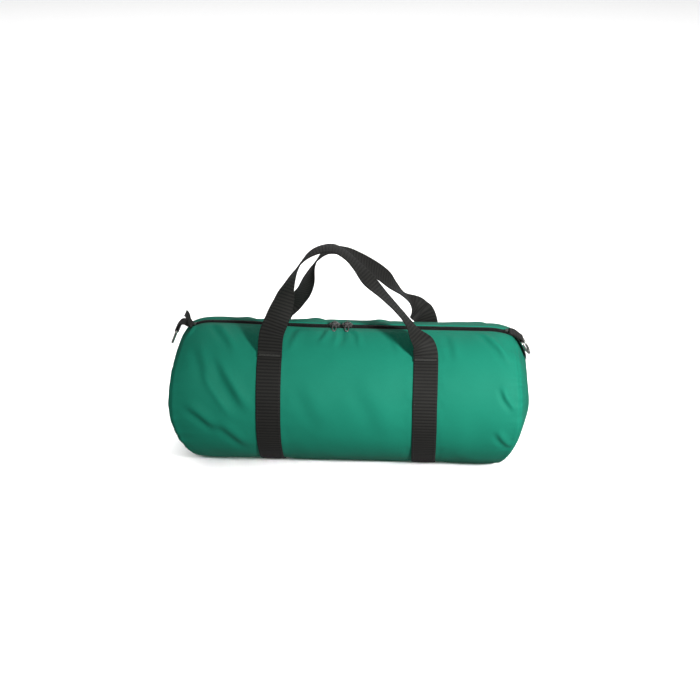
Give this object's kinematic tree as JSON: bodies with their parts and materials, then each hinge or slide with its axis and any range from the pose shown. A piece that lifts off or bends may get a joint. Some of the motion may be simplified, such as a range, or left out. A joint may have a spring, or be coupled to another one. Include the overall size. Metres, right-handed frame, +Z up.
{
  "type": "telescope carry case",
  "caption": "Padded barrel-shaped carry case for a small telescope tube, with a two-way zipper along the top, webbing bands, twin handles and end D-rings.",
  "frame": {"origin": "on the floor under the middle of the case, the bottom centre of its box", "axes": "+X along the barrel towards the right end seen from the front, -Y the front, +Z up"},
  "size_m": [0.5746, 0.2278, 0.3584],
  "materials": {
    "shell_fabric": "teal green woven nylon, lightly coated, soft satin",
    "padding": "closed-cell foam sheet, between the shell and the lining",
    "lining": "black woven lining",
    "binding": "black twill seam binding tape",
    "webbing": "black-brown ribbed nylon webbing",
    "zip_tape": "black woven zipper tape",
    "zip_coil": "black nylon coil",
    "black_metal": "black painted zinc, worn bright at the edges",
    "steel": "nickel-plated steel wire"
  },
  "bodies": {
    "case": {"barrel_shell": "shell_fabric", "barrel_foam": "padding", "barrel_lining": "lining", "left_end_shell": "shell_fabric", "left_end_foam": "padding", "left_end_lining": "lining", "left_seam_binding": "binding", "left_zip_end": "zip_tape", "left_zip_stop": "black_metal", "left_band": "webbing", "left_ring_tab": "webbing", "right_end_shell": "shell_fabric", "right_end_foam": "padding", "right_end_lining": "lining", "right_seam_binding": "binding", "right_zip_end": "zip_tape", "right_zip_stop": "black_metal", "right_band": "webbing", "right_ring_tab": "webbing"},
    "front_lip": {"front_lip_shell": "shell_fabric", "front_lip_foam": "padding", "front_lip_lining": "lining", "front_zip_tape": "zip_tape", "front_zip_coil": "zip_coil", "front_left_tack": "webbing", "front_right_tack": "webbing"},
    "rear_lip": {"rear_lip_shell": "shell_fabric", "rear_lip_foam": "padding", "rear_lip_lining": "lining", "rear_zip_tape": "zip_tape", "rear_zip_coil": "zip_coil", "rear_left_tack": "webbing", "rear_right_tack": "webbing"},
    "front_handle": {"front_handle": "webbing"},
    "rear_handle": {"rear_handle": "webbing"},
    "left_slider": {"left_slider": "black_metal"},
    "right_slider": {"right_slider": "black_metal"},
    "left_pull": {"left_pull": "black_metal"},
    "right_pull": {"right_pull": "black_metal"},
    "left_ring": {"left_d_ring": "steel"},
    "right_ring": {"right_d_ring": "steel"}
  },
  "joints": [
    {"name": "front_lip_fold", "type": "hinge", "parent": "case", "child": "front_lip", "pos_m": [0, -0.07628, 0.19172], "axis": [1, 0, 0], "range_deg": [0, 45]},
    {"name": "rear_lip_fold", "type": "hinge", "parent": "case", "child": "rear_lip", "pos_m": [0, 0.07628, 0.19172], "axis": [-1, 0, 0], "range_deg": [0, 45]},
    {"name": "left_slider_slide", "type": "slide", "parent": "front_lip", "child": "left_slider", "axis": [-1, 0, 0], "range_m": [0, 0.171]},
    {"name": "right_slider_slide", "type": "slide", "parent": "front_lip", "child": "right_slider", "axis": [1, 0, 0], "range_m": [0, 0.199]},
    {"name": "front_handle_swing", "type": "hinge", "parent": "front_lip", "child": "front_handle", "pos_m": [0, -0.06654, 0.19858], "axis": [1, 0, 0], "range_deg": [0, 70]},
    {"name": "rear_handle_swing", "type": "hinge", "parent": "rear_lip", "child": "rear_handle", "pos_m": [0, 0.06654, 0.19858], "axis": [-1, 0, 0], "range_deg": [0, 70]},
    {"name": "left_pull_swing", "type": "hinge", "parent": "left_slider", "child": "left_pull", "pos_m": [-0.024, 0, 0.2253], "axis": [-1, 0, 0], "range_deg": [0, 150]},
    {"name": "right_pull_swing", "type": "hinge", "parent": "right_slider", "child": "right_pull", "pos_m": [-0.004, 0, 0.2253], "axis": [-1, 0, 0], "range_deg": [0, 150]},
    {"name": "left_ring_swing", "type": "hinge", "parent": "case", "child": "left_ring", "pos_m": [-0.2755, 0, 0.2095], "axis": [0, 1, 0], "range_deg": [0, 150]},
    {"name": "right_ring_swing", "type": "hinge", "parent": "case", "child": "right_ring", "pos_m": [0.2712, 0, 0.2024], "axis": [0, -1, 0], "range_deg": [0, 150]}
  ],
  "couplings": [
    {"joint": "rear_lip_fold", "follows": "front_lip_fold", "ratio": 1},
    {"joint": "left_slider_slide", "follows": "front_lip_fold", "m_per_rad": 0.21772},
    {"joint": "right_slider_slide", "follows": "front_lip_fold", "m_per_rad": 0.25337}
  ]
}
